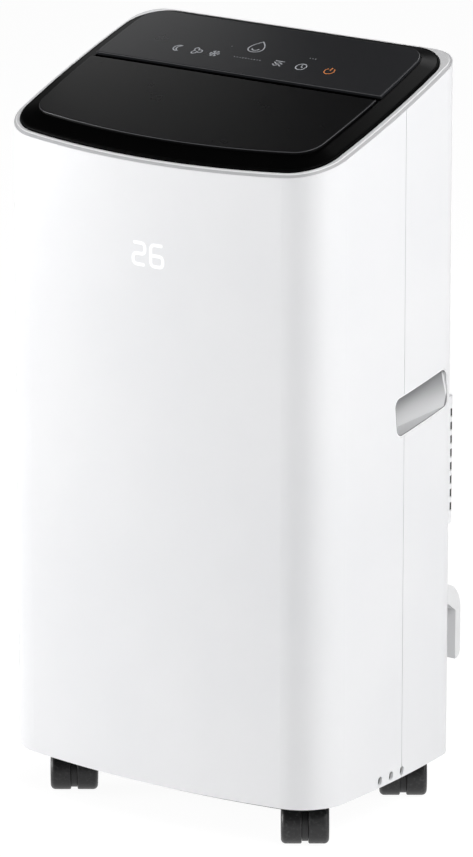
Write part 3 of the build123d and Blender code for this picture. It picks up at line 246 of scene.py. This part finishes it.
def grey_trim():
    """Satin grey ring with a pale painted highlight along its upper edge, which is also glossier."""
    finish = Finish("grey_trim")
    grain = finish.noise(1300, 2.0)
    _, y, z = finish.axes()
    # Painted highlight: the top band of the ring is painted pale
    edge = finish.spread(seat_height(y, z), TRIM_TOP - TRIM_HIGHLIGHT, TRIM_TOP - TRIM_HIGHLIGHT / 2)
    body = finish.mix(grain, rgb(0.44, 0.44, 0.45), rgb(0.50, 0.50, 0.51))
    return finish.surface(
        Base_Color=finish.mix(edge, body, rgb(0.84, 0.84, 0.85)),
        Roughness=0.42 + 0.06 * (grain - 0.5) - 0.15 * edge,
        Normal=finish.bump(grain, 0.00003),
    )


def grip_grey():
    """Grey hand recess: painted shade high up, a painted highlight at the rear end, a dark painted shade
    line inside a white rim.

    The rim is the part near the bowed side wall. On it the distance from the rounded opening, found
    in the recess's own tilted directions, parts the line from the white.
    """
    finish = Finish("grip_grey")
    grain = finish.noise(900, 2.0)
    x, y, z = finish.axes()
    along = (y - GRIP_Y) * cos(GRIP_TILT) + (z - GRIP_Z) * sin(GRIP_TILT)
    rise = (z - GRIP_Z) * cos(GRIP_TILT) - (y - GRIP_Y) * sin(GRIP_TILT)
    beyond_end = (abs(along) - (GRIP_HALF[0] - GRIP_R)).above_zero()
    beyond_top = (abs(rise) - (GRIP_HALF[1] - GRIP_R)).above_zero()
    outside = (beyond_end ** 2 + beyond_top ** 2) ** 0.5 - GRIP_R
    wall = abs(x) + (y - SIDE_Y) ** 2 * (0.5 / SIDE_ARC)
    rim = finish.spread(wall, SIDE_X - GRIP_RIM - GRIP_BLUR, SIDE_X - GRIP_RIM)
    # Painted shade: a dark line round the opening, where the gap to the shell is in shade; beyond it the
    # rim is white
    white = finish.spread(outside, GRIP_SHADE_LINE, GRIP_SHADE_LINE + GRIP_BLUR)
    # Painted shade: the recess is painted darker towards its top, under its overhang
    painted_top_shade = finish.spread(rise, -GRIP_HALF[1], 0.7 * GRIP_HALF[1])
    cup = finish.mix(painted_top_shade, rgb(0.60, 0.603, 0.61), rgb(0.24, 0.243, 0.25))
    # Painted highlight: the rear end wall, which lies in shade, is painted pale
    end = finish.spread(along, 0.95 * GRIP_HALF[0], 0.98 * GRIP_HALF[0])
    cup = finish.mix(end, cup, rgb(0.80, 0.80, 0.81))
    edge = finish.mix(white, rgb(0.16, 0.162, 0.168), rgb(0.90, 0.90, 0.91))
    return finish.surface(
        Base_Color=finish.mix(rim, cup, edge),
        Roughness=0.5 + 0.06 * (grain - 0.5),
        Normal=finish.bump(grain, 0.00005),
    )


def grey_plastic():
    return moulding("grey_plastic", rgb(0.27, 0.275, 0.285), rgb(0.35, 0.355, 0.36), 0.5, 700, 0.00006)


def black_plastic():
    dark = rgb(0.010, 0.010, 0.011)
    light = rgb(0.022, 0.022, 0.023)
    return moulding("black_plastic", dark, light, 0.45, 800, 0.00008, 0.4)


def satin_black(name, dark, light, specular):
    """Satin black plate with a very fine grain and a pale painted highlight along its rounded upper edge.
    """
    finish = Finish(name)
    grain = finish.noise(2000, 2.0)
    flow = finish.noise(38, 2.0)
    _, y, z = finish.axes()
    # Painted highlight: a pale band just below the top, on the rounded upper edge
    below = PANEL_TOP - seat_height(y, z)
    highlight_starts = finish.spread(below, 0.1 * PANEL_EDGE, 0.25 * PANEL_EDGE)
    highlight_ends = finish.spread(below, 0.8 * PANEL_EDGE, PANEL_EDGE)
    plate = finish.mix(grain, dark, light)
    return finish.surface(
        Base_Color=finish.mix(highlight_starts - highlight_ends, plate, rgb(0.065, 0.066, 0.07)),
        Roughness=0.265 + 0.03 * flow,
        Specular_IOR_Level=specular,
        Normal=finish.bump(grain, 0.00001),
    )


def black_top():
    return satin_black("black_top", rgb(0.0015, 0.0015, 0.0018), rgb(0.003, 0.003, 0.0033), 0.18)


def black_panel():
    """The touch panel is a shade lighter than the flap."""
    return satin_black("black_panel", rgb(0.015, 0.0155, 0.0175), rgb(0.019, 0.0195, 0.0215), 0.28)


def black_frame():
    """Deep black frame round the panel, with little shine of its own."""
    dark = rgb(0.001, 0.001, 0.001)
    light = rgb(0.0015, 0.0015, 0.0015)
    return moulding("black_frame", dark, light, 0.3, 2000, 0.000005, 0.03)


def wheel_black():
    """Caster nylon: scuffed lighter where the tread runs, with short scratches."""
    finish = Finish("wheel_black")
    scuff = finish.spread(finish.noise(260, 4.0), 0.52, 0.72)
    scratch = finish.spread(finish.noise(420, 1.0, (0.12, 1, 1)), 0.60, 0.68)
    wear = 0.6 * scuff + 0.3 * scratch
    return finish.surface(
        Base_Color=finish.mix(wear, rgb(0.020, 0.020, 0.021), rgb(0.07, 0.07, 0.07)),
        Roughness=0.4 + 0.25 * wear,
        Specular_IOR_Level=0.4,
        Normal=finish.bump(1 - wear, 0.00005),
    )


def black_rubber():
    """Matt rubber with a little pale bloom."""
    finish = Finish("black_rubber")
    bloom = finish.spread(finish.noise(120, 5.0), 0.45, 0.75)
    relief = finish.noise(1200, 2.0)
    return finish.surface(
        Base_Color=finish.mix(bloom, rgb(0.016, 0.016, 0.016), rgb(0.045, 0.044, 0.042)),
        Roughness=0.72 + 0.15 * bloom,
        Normal=finish.bump(relief, 0.00008),
    )


def filter_net():
    finish = Finish("net")
    dust = finish.spread(finish.noise(90, 4.0), 0.4, 0.8)
    return finish.surface(
        Base_Color=finish.mix(dust, rgb(0.05, 0.054, 0.06), rgb(0.13, 0.13, 0.125)),
        Roughness=0.6 + 0.2 * dust,
        Normal=finish.bump(finish.noise(900), 0.00005),
    )


# Finishes of the metal pieces and the boards


def brushed(name, dark, light, gloss, stretch, depth):
    """Metal with fine lines along one direction and soft stains."""
    finish = Finish(name)
    lines = finish.noise(900, 2.0, stretch)
    stain = finish.spread(finish.noise(35, 4.0), 0.35, 0.75)
    return finish.surface(
        Base_Color=finish.mix(0.5 * lines + 0.5 * stain, dark, light),
        Metallic=1.0,
        Roughness=gloss + 0.15 * lines + 0.08 * stain,
        Normal=finish.bump(lines, depth),
    )


def steel():
    return brushed("steel", rgb(0.42, 0.42, 0.43), rgb(0.62, 0.62, 0.63), 0.25, (0.06, 1, 1), 0.00002)


def fins():
    return brushed("fins", rgb(0.55, 0.56, 0.57), rgb(0.78, 0.79, 0.80), 0.3, (1, 1, 0.05), 0.00003)


def copper():
    return brushed("copper", rgb(0.42, 0.18, 0.09), rgb(0.80, 0.45, 0.30), 0.25, (1, 1, 0.3), 0.00002)


def motor_case():
    return brushed("motor_case", rgb(0.36, 0.37, 0.37), rgb(0.52, 0.53, 0.53), 0.35, (1, 0.1, 1), 0.00002)


def black_can():
    """Semi-gloss enamel over a pressed can."""
    finish = Finish("black_can")
    peel = finish.noise(350, 2.0)
    dust = finish.spread(finish.noise(45, 5.0), 0.5, 0.8)
    return finish.surface(
        Base_Color=finish.mix(dust, rgb(0.012, 0.012, 0.013), rgb(0.05, 0.048, 0.045)),
        Roughness=0.3 + 0.3 * dust,
        Normal=finish.bump(peel, 0.00008),
    )


def board():
    """Circuit board: green mask over straight copper runs."""
    finish = Finish("board")
    bricks = {"Vector": finish.where(), "Scale": 160, "Mortar Size": 0.08}
    runs = finish.add("ShaderNodeTexBrick", {}, bricks, 1)
    grain = finish.noise(600)
    return finish.surface(
        Base_Color=finish.mix(runs * 0.8, rgb(0.02, 0.12, 0.05), rgb(0.06, 0.26, 0.11)),
        Roughness=0.35 + 0.1 * grain,
        Normal=finish.bump(runs, 0.00004),
    )


def lamp():
    """Diffusing lens, slightly mottled."""
    finish = Finish("lamp")
    mottle = finish.noise(300, 3.0)
    return finish.surface(
        Base_Color=finish.mix(mottle, rgb(0.78, 0.79, 0.82), rgb(0.86, 0.87, 0.90)),
        Roughness=0.3 + 0.1 * mottle,
    )


def glow(name, dim, bright, strength):
    """Lit figure: light that is a little uneven along its strokes."""
    finish = Finish(name)
    spots = finish.noise(500, 1.0)
    light = finish.mix(spots, dim, bright)
    return finish.surface(
        Base_Color=light, Emission_Color=light, Emission_Strength=strength, Roughness=0.4 + 0.1 * spots
    )


def ink(name, thin, full):
    """Printed mark, a little uneven in cover."""
    finish = Finish(name)
    cover = finish.spread(finish.noise(700, 2.0), 0.3, 0.6)
    return finish.surface(Base_Color=finish.mix(cover, thin, full), Roughness=0.5 + 0.1 * cover)


FINISHES = {
    "white_shell": white_shell,
    "grey_trim": grey_trim,
    "grip_grey": grip_grey,
    "black_top": black_top,
    "black_plastic": black_plastic,
    "grey_plastic": grey_plastic,
    "white_plastic": white_plastic,
    "wheel_black": wheel_black,
    "black_rubber": black_rubber,
    "steel": steel,
    "black_can": black_can,
    "motor_case": motor_case,
    "fins": fins,
    "copper": copper,
    "board": board,
    "lamp": lamp,
    "net": filter_net,
}


def dress_nodes():
    """Gives every node of the part the finish of its slot; two black pieces of the top get their own."""
    made = {slot: make() for slot, make in FINISHES.items()}
    for row in frame["record"]["subparts"]:
        node = frame["nodes"][row["node"]]
        node.data.materials.clear()
        node.data.materials.append(made[row["material_slot"]])
    for name, material in (("top_frame", black_frame()), ("control_panel", black_panel())):
        frame["nodes"][name].data.materials.clear()
        frame["nodes"][name].data.materials.append(material)
    return made


# Surfaces from arrays


def piece(name, parts, material, body):
    """One object from several (points, faces) arrays, welded where points meet."""
    counts = np.cumsum([0] + [len(points) for points, _ in parts])
    points = np.concatenate([points for points, _ in parts])
    faces = np.concatenate([faces + start for (_, faces), start in zip(parts, counts)])
    mesh = bpy.data.meshes.new(name)
    mesh.from_pydata(points, [], faces.tolist())
    shape = bmesh.new()
    shape.from_mesh(mesh)
    bmesh.ops.remove_doubles(shape, verts=shape.verts, dist=1e-7)
    bmesh.ops.recalc_face_normals(shape, faces=shape.faces)
    shape.to_mesh(mesh)
    shape.free()
    mesh.materials.append(material)
    item = bpy.data.objects.new(name, mesh)
    bpy.context.scene.collection.objects.link(item)
    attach(item, body)
    return item


def tube_faces(rows, columns, ring):
    """Quads of a grid that is closed across its columns, and along its rows if it is a ring."""
    index = np.arange(rows * columns).reshape(rows, columns)
    ahead = np.roll(index, -1, axis=0)
    beside = np.roll(index, -1, axis=1)
    corner = np.roll(ahead, -1, axis=1)
    quads = np.stack([index, ahead, corner, beside], axis=-1)
    if not ring:
        quads = quads[:-1]
    return quads.reshape(-1, 4)


def blocks(low, high):
    """Upright blocks between the rows of two corner arrays."""
    bits = np.array([[i & 1, i >> 1 & 1, i >> 2 & 1] for i in range(8)])
    points = low[:, None, :] * (1 - bits) + high[:, None, :] * bits
    sides = np.array([[0, 2, 3, 1], [4, 5, 7, 6], [0, 1, 5, 4], [2, 6, 7, 3], [0, 4, 6, 2], [1, 3, 7, 5]])
    faces = sides[None] + 8 * np.arange(len(low))[:, None, None]
    return points.reshape(-1, 3), faces.reshape(-1, 4)


def even_steps(path, step, ring):
    """The same line with points at even steps along it."""
    if ring:
        path = np.concatenate([path, path[:1]])
    runs = np.hypot(*np.diff(path, axis=0).T)
    along = np.concatenate([[0], np.cumsum(runs)])
    count = max(int(along[-1] / step), 6)
    where = np.linspace(0, along[-1], count + 1)
    if ring:
        where = where[:-1]
    return np.stack([np.interp(where, along, path[:, 0]), np.interp(where, along, path[:, 1])], axis=1)


def stroke(path, width, surface, ring=False):
    """A flat line of ink on a surface: a low trapezium carried along the path.

    Across the path the points lie at -1, -0.8, 0.8 and 1 half widths; the half width is that of a
    half circle near both ends, so that they come out round.
    """
    half = width / 2
    path = even_steps(np.asarray(path, float), half / 3, ring)
    if ring:
        way = np.roll(path, -1, axis=0) - np.roll(path, 1, axis=0)
        taper = np.ones(len(path))
    else:
        way = np.gradient(path, axis=0)
        steps = np.arange(len(path)) * np.hypot(*(path[1] - path[0]))
        from_end = np.minimum(steps, steps[-1] - steps)
        taper = np.sqrt(1 - (1 - np.clip(from_end / half, 0, 1)) ** 2)
    way /= np.hypot(way[:, 0], way[:, 1])[:, None]
    side = np.stack([-way[:, 1], way[:, 0]], axis=1)
    across = np.array([-1, -0.8, 0.8, 1]) * half
    flat = path[:, None, :] + side[:, None, :] * (taper[:, None] * across)[:, :, None]
    rise = taper[:, None] * np.array([0, 1, 1, 0]) * INK_T
    points = surface(flat[..., 0], flat[..., 1], rise)
    return points.reshape(-1, 3), tube_faces(len(path), 4, ring)


def front_wall(x, z, out):
    """Place on the bowed front: a circle in plan about an upright line behind the wall."""
    y = FRONT_Y + FRONT_ARC - np.sqrt((FRONT_ARC + out) ** 2 - x**2)
    return np.stack([x, y, z], axis=-1)


def touch_panel(x, v, out):
    """Place on the slanted panel: x across, v up the slant, out square to it."""
    up = PANEL_TOP + out
    y = FRONT_Y + v * cos(CAP_SLOPE) - up * sin(CAP_SLOPE)
    z = CAP_Z + v * sin(CAP_SLOPE) + up * cos(CAP_SLOPE)
    return np.stack([x, y, z], axis=-1)


def arc(middle, radius, start, end, count=40):
    """Part of a circle, angles in degrees."""
    turn = np.radians(np.linspace(start, end, count))
    return np.asarray(middle) + radius * np.stack([np.cos(turn), np.sin(turn)], axis=1)


def circle(middle, radius):
    return arc(middle, radius, 0, 351, 40)


def rounded_line(corners, radius):
    """Straight runs whose corners are eased by a parabola from radius before to radius after."""
    corners = np.asarray(corners, float)
    share = np.linspace(0, 1, 9)[:, None]
    parts = [corners[:1]]
    for before, corner, after in zip(corners[:-2], corners[1:-1], corners[2:]):
        enter = corner + (before - corner) * min(1, radius / np.hypot(*(before - corner)))
        leave = corner + (after - corner) * min(1, radius / np.hypot(*(after - corner)))
        parts.append((1 - share) ** 2 * enter + 2 * share * (1 - share) * corner + share**2 * leave)
    parts.append(corners[-1:])
    return np.concatenate(parts)


# Lit figures and printed marks


def front_figures():
    """The two lit figures 2 and 6 that shine through the front wall."""
    wide, high = FIGURE_SIZE
    left = FIGURES_X - (2 * wide + FIGURE_GAP) / 2
    low = FIGURES_Z - high / 2
    middle = FIGURES_Z
    top = FIGURES_Z + high / 2
    right = left + wide
    two = [(left, top), (right, top), (right, middle), (left, middle), (left, low), (right, low)]
    start = right + FIGURE_GAP
    end = start + wide
    six = [(end, top), (start, top), (start, low), (end, low), (end, middle), (start, middle)]
    strokes = [rounded_line(line, FIGURE_BEND) for line in (two, six)]
    parts = [stroke(line, FIGURE_W, front_wall) for line in strokes]
    light = glow("lit_figure", rgb(0.93, 0.94, 0.96), rgb(1, 1, 1), 0.06)
    piece("front_figures", parts, light, "housing")


def moon(x, v):
    """Crescent: the far arc of one circle and the near arc of another."""
    far = arc((x, v), 5.4 * MM, 70, 290)
    near = arc((x + 3.2 * MM, v), 5.15 * MM, 260, 100)
    return [(np.concatenate([far, near]), True)]


def fan_mark(x, v):
    """Three blades: the distance from the middle swells and shrinks three times a turn."""
    turn = np.radians(np.arange(0, 360, 4))
    reach = (1.6 + 4.6 * np.abs(np.cos(1.5 * turn))) * MM
    blades = np.stack([x + reach * np.cos(turn), v + reach * np.sin(turn)], axis=1)
    return [(blades, True)]


def snow_mark(x, v):
    """Three crossed lines with a small fork near each end."""
    lines = []
    for turn in np.radians([0, 60, 120, 180, 240, 300]):
        ahead = np.array([cos(turn), sin(turn)])
        aside = np.array([-sin(turn), cos(turn)])
        centre = np.array([x, v])
        lines.append(([centre, centre + 5.8 * MM * ahead], False))
        fork = centre + 3.4 * MM * ahead
        tip = 1.8 * MM * ahead
        lines.append(([fork + tip + 1.6 * MM * aside, fork, fork + tip - 1.6 * MM * aside], False))
    return lines


def swing_mark(x, v):
    """Air path: two bent lines under a flap."""
    lines = [([(x - 5.6 * MM, v + 4.2 * MM), (x + 5.6 * MM, v + 4.2 * MM)], False)]
    for drop in (0.4, -3.6):
        along = np.linspace(-5.6, 5.6, 30)
        wave = drop + 1.1 * np.sin(0.9 * along)
        lines.append((np.stack([x + along * MM, v + wave * MM], axis=1), False))
    return lines


def clock_mark(x, v):
    """Clock face with two hands."""
    hands = [(x, v + 3.8 * MM), (x, v), (x + 2.6 * MM, v - 1.4 * MM)]
    return [(circle((x, v), 5.6 * MM), True), (hands, False)]


def drop_mark(x, v):
    """Water drop, round below and drawn to a point above, with a short arc inside."""
    turn = np.radians(np.arange(0, 360, 5))
    wide = 11.0 * np.sin(turn) * np.sin(turn / 2)
    drop = np.stack([x + wide * MM, v + 10.5 * np.cos(turn) * MM], axis=1)
    return [(drop, True), (arc((x, v - 3.0 * MM), 4.2 * MM, 190, 350), False)]


def power_mark(x, v):
    """Open ring with an upright bar in its gap."""
    return [(arc((x, v), 5.4 * MM, 125, 415), False), ([(x, v + 6.6 * MM), (x, v + 1.0 * MM)], False)]


def lamp_dots(x, v, count):
    """A row of short dashes at an even pitch."""
    return [([(x + 3.4 * i * MM, v), (x + (3.4 * i + 1.2) * MM, v)], False) for i in range(count)]


def panel_marks():
    """Printed marks of the touch panel, in two inks."""
    pale = []
    row = ((-90.0, moon), (-67.5, fan_mark), (-46.0, snow_mark), (30.5, swing_mark), (58.0, clock_mark))
    for x, mark in row:
        pale += mark(x * MM, ICON_LINE)
    pale += lamp_dots(-37.5 * MM, LAMP_LINE, 1)
    pale += lamp_dots(56.5 * MM, LAMP_LINE, 3)
    pale += lamp_dots(-22.5 * MM, ICON_LINE, 10)
    pale += drop_mark(-9.5 * MM, LAMP_LINE + 6 * MM)
    orange = power_mark(91.5 * MM, ICON_LINE)
    pale_ink = ink("pale_ink", rgb(0.30, 0.315, 0.34), rgb(0.46, 0.475, 0.50))
    orange_ink = ink("orange_ink", rgb(0.55, 0.17, 0.04), rgb(0.80, 0.26, 0.06))
    for name, lines, cover in (("panel_marks", pale, pale_ink), ("power_mark", orange, orange_ink)):
        parts = [stroke(line, ICON_W, touch_panel, ring) for line, ring in lines]
        piece(name, parts, cover, "housing")


# Fine parts behind the grilles


def net_threads(cover):
    """Fine net in the dust filter: upright and level threads at an even pitch."""
    low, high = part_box("air_filter")
    y = (low.y + high.y) / 2
    half = THREAD_T / 2
    across = np.arange(low.x + THREAD_PITCH, high.x, THREAD_PITCH)
    level = np.arange(low.z + THREAD_PITCH, high.z, THREAD_PITCH)
    ones = np.ones_like
    up_low = np.stack([across - half, ones(across) * (y - half), ones(across) * low.z], axis=1)
    up_high = np.stack([across + half, ones(across) * (y + half), ones(across) * high.z], axis=1)
    on_low = np.stack([ones(level) * low.x, ones(level) * y, level - half], axis=1)
    on_high = np.stack([ones(level) * high.x, ones(level) * (y + THREAD_T), level + half], axis=1)
    threads = [blocks(up_low, up_high), blocks(on_low, on_high)]
    piece("filter_threads", threads, cover, "filter_door")


def coil_fins(node, metal):
    """Thin upright fins on the rear face of a coil."""
    low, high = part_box(node)
    x = np.arange(low.x + FIN_PITCH, high.x, FIN_PITCH)
    ones = np.ones_like(x)
    edge = 3 * FIN_PITCH
    near = np.stack([x - FIN_T / 2, ones * (high.y - FIN_OUT), ones * (low.z + edge)], axis=1)
    far = np.stack([x + FIN_T / 2, ones * (high.y + FIN_OUT), ones * (high.z - edge)], axis=1)
    piece(f"{node}_fins", [blocks(near, far)], metal, "housing")


def slot_end_blocks(block_cover):
    """Dark blocks that close the ends of the lower grille's slots and make them dark: one in each, on
    both sides.
    """
    z = SLOT_Z + SLOT_PITCH * np.arange(SLOT_COUNT)
    ones = np.ones_like(z)
    parts = []
    for side in (-1, 1):
        near, far = sorted(side * x for x in SLOT_BLOCK_X)
        low = np.stack([ones * near, ones * SLOT_BLOCK_Y[0], z - SLOT_BLOCK_H / 2], axis=1)
        high = np.stack([ones * far, ones * SLOT_BLOCK_Y[1], z + SLOT_BLOCK_H / 2], axis=1)
        parts.append(blocks(low, high))
    piece("slot_end_blocks", parts, block_cover, "housing")


# Studio


def ray_kind(finish):
    """1 for rays that show the background: from the camera, in a reflection or through glass."""
    names = ("Is Camera Ray", "Is Glossy Ray", "Is Transmission Ray")
    kinds = [finish.add("ShaderNodeLightPath", output=name) for name in names]
    return (kinds[0] + kinds[1] + kinds[2]) > 0.5


def studio_floor():
    """Plain white floor: mostly its own white where it is seen, with the object's shadow on it."""
    corners = [(FLOOR_HALF * x, FLOOR_HALF * y, 0) for x, y in ((-1, -1), (1, -1), (1, 1), (-1, 1))]
    mesh = bpy.data.meshes.new("floor")
    mesh.from_pydata(corners, [], [(0, 1, 2, 3)])
    floor = bpy.data.objects.new("floor", mesh)
    bpy.context.scene.collection.objects.link(floor)
    finish = Finish("studio_floor")
    finish.surface(Base_Color=rgb(0.86, 0.86, 0.86), Roughness=0.9, Specular_IOR_Level=0.1)
    white = finish.add("ShaderNodeEmission", {}, {"Color": rgb(1, 1, 1), "Strength": FLOOR_GLOW})
    lit = Wire(finish, finish.shader.outputs[0])
    share = ray_kind(finish) * FLOOR_SHARE
    cover = finish.add("ShaderNodeMixShader", {}, {0: share, 1: lit, 2: white})
    finish.feed(finish.tree.nodes["Material Output"].inputs["Surface"], cover)
    mesh.materials.append(finish.material)


def studio_world():
    """Grey room up to a little above the horizon, dark overhead."""
    world = bpy.data.worlds.new("studio")
    bpy.context.scene.world = world
    world.use_nodes = True
    nodes = world.node_tree.nodes
    links = world.node_tree.links
    place = nodes.new("ShaderNodeTexCoord")
    parts = nodes.new("ShaderNodeSeparateXYZ")
    links.new(place.outputs["Generated"], parts.inputs[0])
    ramp = nodes.new("ShaderNodeValToRGB")
    ramp.color_ramp.elements[0].position = 0.25
    ramp.color_ramp.elements[0].color = rgb(0.20, 0.20, 0.205)
    ramp.color_ramp.elements[1].position = 0.37
    ramp.color_ramp.elements[1].color = rgb(0.03, 0.03, 0.031)
    links.new(parts.outputs["Z"], ramp.inputs[0])
    links.new(ramp.outputs[0], nodes["Background"].inputs["Color"])
    nodes["Background"].inputs["Strength"].default_value = 1.0


def softbox(name, place, aim, size, power):
    """Soft lamp turned to a point."""
    light = bpy.data.lights.new(name, "AREA")
    light.shape = "RECTANGLE"
    light.size, light.size_y = size
    light.energy = power
    lamp_object = bpy.data.objects.new(name, light)
    bpy.context.scene.collection.objects.link(lamp_object)
    lamp_object.location = place
    lamp_object.rotation_euler = (Vector(aim) - Vector(place)).to_track_quat("-Z", "Y").to_euler()


def studio_lamps():
    """A key from the left, three lamps from the right, and two small ones that the black top mirrors."""
    middle = (0, 0, 0.42)
    panel = (-0.12, 0.08, 0.77)
    softbox("left_key", (-3.4, -2.15, 0.8), middle, (1.8, 1.3), 142)
    softbox("right_front", (2.2, -1.5, 2.7), middle, (1.2, 1.6), 60)
    softbox("right_rear", (2.6, 0.9, 2.0), middle, (1.2, 1.6), 38)
    softbox("right_low", (2.8, -0.4, 0.35), (0, 0, 0.2), (1.0, 0.5), 7)
    softbox("panel_sheen", (-0.64, 0.54, 1.12), panel, (0.3, 0.3), 0.36)
    softbox("band_sheen", (-0.34, 1.40, 2.3), panel, (0.6, 0.6), 7)


def photo_camera():
    """Long lens from the front right, a little above."""
    data = bpy.data.cameras.new("camera")
    data.lens = CAMERA_LENS
    data.sensor_width = CAMERA_SENSOR
    data.clip_end = 100.0
    camera = bpy.data.objects.new("camera", data)
    bpy.context.scene.collection.objects.link(camera)
    camera.location = CAMERA_PLACE
    camera.rotation_euler = (pi / 2 - CAMERA_PITCH, 0, CAMERA_YAW)
    bpy.context.scene.camera = camera


made = dress_nodes()
front_figures()
panel_marks()
net_threads(made["net"])
# Dark blocks in the ends of the lower grille's slots
slot_end_blocks(made["black_rubber"])
for coil in ("evaporator", "condenser"):
    coil_fins(coil, made["fins"])
studio_floor()
studio_world()
studio_lamps()
photo_camera()
bpy.context.scene.view_settings.view_transform = "Standard"
